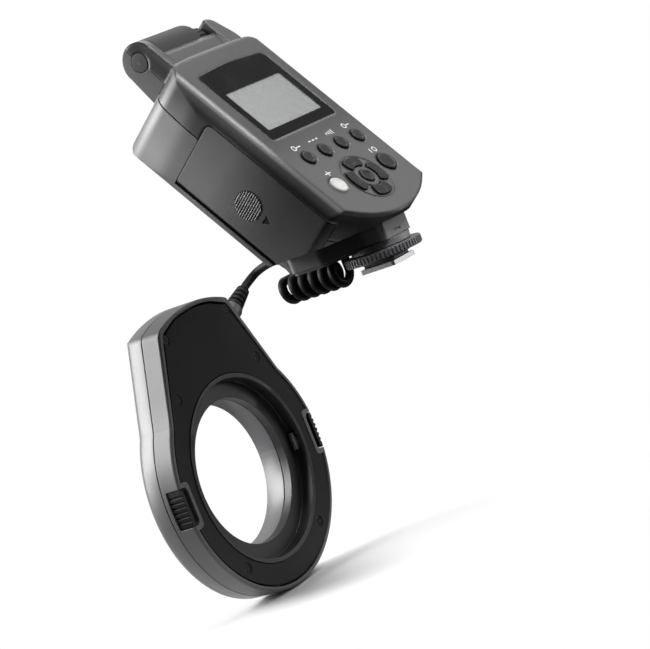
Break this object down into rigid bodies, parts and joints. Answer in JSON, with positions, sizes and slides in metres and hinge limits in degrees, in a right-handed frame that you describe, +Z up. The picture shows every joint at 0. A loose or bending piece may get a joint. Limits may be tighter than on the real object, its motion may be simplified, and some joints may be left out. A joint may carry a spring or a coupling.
{
  "type": "macro ring flash",
  "caption": "Two-part macro ring flash: a leaning control unit with keys, display and shoe foot, a ring head that goes round the front of a lens, and a curly cord between them.",
  "frame": {"origin": "middle of the shoe foot's underside", "axes": "+X right seen from behind the key panel, +Y forward along the lens, +Z up"},
  "size_m": [0.1177, 0.1464, 0.2533],
  "materials": {
    "rear_plastic": "fine satin texture",
    "front_plastic": "fine satin texture",
    "plinth_plastic": "satin",
    "door_plastic": "fine satin texture",
    "window_gloss": "polished",
    "lcd_glass": "display film",
    "key_rubber": "matt",
    "pilot_lens": "milky",
    "mat_rubber": "matt",
    "board": "solder mask",
    "bay_plastic": "moulded",
    "cell_wrap": "plain sleeve",
    "capacitor_sleeve": "shrunk sleeve",
    "brass_plate": "plated",
    "plated_steel": "bright zinc",
    "screw_steel": "blackened",
    "knuckle_plastic": "satin",
    "lock_plastic": "satin",
    "ring_back_plastic": "fine texture",
    "ring_front_plastic": "fine satin texture",
    "button_plastic": "satin",
    "coil_resin": "potted",
    "reflector_metal": "polished",
    "tube_glass": "clear",
    "diffuser_plastic": "frosted, ribbed",
    "lamp_glass": "clear",
    "cord_rubber": "satin"
  },
  "bodies": {
    "control_unit": {"rear_case": "rear_plastic", "front_case": "front_plastic", "plinth": "plinth_plastic", "foot_plate": "plated_steel", "foot_contacts": "brass_plate", "case_screws": "screw_steel", "display_window": "window_gloss", "lcd_panel": "lcd_glass", "key_mat": "mat_rubber", "main_board": "board", "battery_bay": "bay_plastic", "aa_cells": "cell_wrap", "bay_contacts": "brass_plate", "flash_capacitor": "capacitor_sleeve", "hinge_pin": "plated_steel", "pivot_cap": "knuckle_plastic", "cord_grommet": "cord_rubber", "cord_coil": "cord_rubber"},
    "top_barrel": {"top_barrel": "knuckle_plastic", "thumb_end": "knuckle_plastic"},
    "door_slider": {"door_rod": "plated_steel"},
    "battery_door": {"battery_door": "door_plastic", "door_grip": "door_plastic", "door_contacts": "brass_plate"},
    "locking_ring": {"locking_ring": "lock_plastic"},
    "locking_pin": {"locking_pin": "plated_steel"},
    "ring_head": {"cord_lead": "cord_rubber", "ring_rear_case": "ring_back_plastic", "ring_back_plate": "ring_back_plastic", "ring_front_case": "ring_front_plastic", "ring_screws": "screw_steel", "ring_board": "board", "trigger_coil": "coil_resin", "reflector_left": "reflector_metal", "reflector_right": "reflector_metal", "arc_tube_left": "tube_glass", "arc_tube_right": "tube_glass", "diffuser_left": "diffuser_plastic", "diffuser_right": "diffuser_plastic", "focus_lamps": "lamp_glass", "cord_gland": "cord_rubber"},
    "release_left": {"release_button_left": "button_plastic"},
    "release_right": {"release_button_right": "button_plastic"},
    "latch_left": {"latch_left": "plated_steel"},
    "latch_right": {"latch_right": "plated_steel"},
    "key_1": {"key_1": "key_rubber"},
    "key_2": {"key_2": "key_rubber"},
    "key_3": {"key_3": "key_rubber"},
    "key_4": {"key_4": "key_rubber"},
    "power_key": {"power_key": "key_rubber"},
    "pilot_key": {"pilot_key": "pilot_lens"},
    "pad_up": {"pad_up": "key_rubber"},
    "pad_down": {"pad_down": "key_rubber"},
    "pad_left": {"pad_left": "key_rubber"},
    "pad_right": {"pad_right": "key_rubber"},
    "set_key": {"set_key": "key_rubber"}
  },
  "joints": [
    {"name": "key_1_press", "type": "slide", "parent": "control_unit", "child": "key_1", "axis": [0, 0.8251, -0.565], "range_m": [0, 0.0006], "stiffness_N_per_m": 1500},
    {"name": "key_2_press", "type": "slide", "parent": "control_unit", "child": "key_2", "axis": [0, 0.8251, -0.565], "range_m": [0, 0.0006], "stiffness_N_per_m": 1500},
    {"name": "key_3_press", "type": "slide", "parent": "control_unit", "child": "key_3", "axis": [0, 0.8251, -0.565], "range_m": [0, 0.0006], "stiffness_N_per_m": 1500},
    {"name": "key_4_press", "type": "slide", "parent": "control_unit", "child": "key_4", "axis": [0, 0.8251, -0.565], "range_m": [0, 0.0006], "stiffness_N_per_m": 1500},
    {"name": "power_key_press", "type": "slide", "parent": "control_unit", "child": "power_key", "axis": [0, 0.8251, -0.565], "range_m": [0, 0.0006], "stiffness_N_per_m": 1500},
    {"name": "pilot_key_press", "type": "slide", "parent": "control_unit", "child": "pilot_key", "axis": [0, 0.8251, -0.565], "range_m": [0, 0.0006], "stiffness_N_per_m": 1500},
    {"name": "pad_up_press", "type": "slide", "parent": "control_unit", "child": "pad_up", "axis": [0, 0.8251, -0.565], "range_m": [0, 0.0006], "stiffness_N_per_m": 1500},
    {"name": "pad_down_press", "type": "slide", "parent": "control_unit", "child": "pad_down", "axis": [0, 0.8251, -0.565], "range_m": [0, 0.0006], "stiffness_N_per_m": 1500},
    {"name": "pad_left_press", "type": "slide", "parent": "control_unit", "child": "pad_left", "axis": [0, 0.8251, -0.565], "range_m": [0, 0.0006], "stiffness_N_per_m": 1500},
    {"name": "pad_right_press", "type": "slide", "parent": "control_unit", "child": "pad_right", "axis": [0, 0.8251, -0.565], "range_m": [0, 0.0006], "stiffness_N_per_m": 1500},
    {"name": "set_key_press", "type": "slide", "parent": "control_unit", "child": "set_key", "axis": [0, 0.8251, -0.565], "range_m": [0, 0.0006], "stiffness_N_per_m": 1500},
    {"name": "barrel_tilt", "type": "hinge", "parent": "control_unit", "child": "top_barrel", "pos_m": [0, 0.0621, 0.11932], "axis": [1, 0, 0], "range_deg": [-45, 45]},
    {"name": "door_slide", "type": "slide", "parent": "control_unit", "child": "door_slider", "axis": [0, -0.565, -0.8251], "range_m": [0, 0.006]},
    {"name": "door_swing", "type": "hinge", "parent": "door_slider", "child": "battery_door", "pos_m": [-0.0348, 0.04266, 0.04173], "axis": [0, -0.565, -0.8251], "range_deg": [0, 90]},
    {"name": "locking_ring_turn", "type": "hinge", "parent": "control_unit", "child": "locking_ring", "pos_m": [0, 0, 0.0063], "axis": [0, 0, 1], "range_deg": [0, 180]},
    {"name": "locking_pin_drop", "type": "slide", "parent": "control_unit", "child": "locking_pin", "axis": [0, 0, -1], "range_m": [0, 0.0012]},
    {"name": "ring_head_reach", "type": "slide", "parent": "control_unit", "child": "ring_head", "axis": [0, 1, 0], "range_m": [0, 0.04], "stiffness_N_per_m": 15, "deforming": ["cord_coil", "cord_lead"]},
    {"name": "release_left_press", "type": "slide", "parent": "ring_head", "child": "release_left", "axis": [1, 0, 0], "range_m": [0, 0.0025], "stiffness_N_per_m": 1500},
    {"name": "latch_left_draw", "type": "slide", "parent": "ring_head", "child": "latch_left", "axis": [-1, 0, 0], "range_m": [0, 0.0025]},
    {"name": "release_right_press", "type": "slide", "parent": "ring_head", "child": "release_right", "axis": [-1, 0, 0], "range_m": [0, 0.0025], "stiffness_N_per_m": 1500},
    {"name": "latch_right_draw", "type": "slide", "parent": "ring_head", "child": "latch_right", "axis": [1, 0, 0], "range_m": [0, 0.0025]}
  ],
  "couplings": [
    {"joint": "locking_pin_drop", "follows": "locking_ring_turn", "m_per_rad": 0.00038197},
    {"joint": "latch_left_draw", "follows": "release_left_press", "ratio": 1},
    {"joint": "latch_right_draw", "follows": "release_right_press", "ratio": 1}
  ]
}
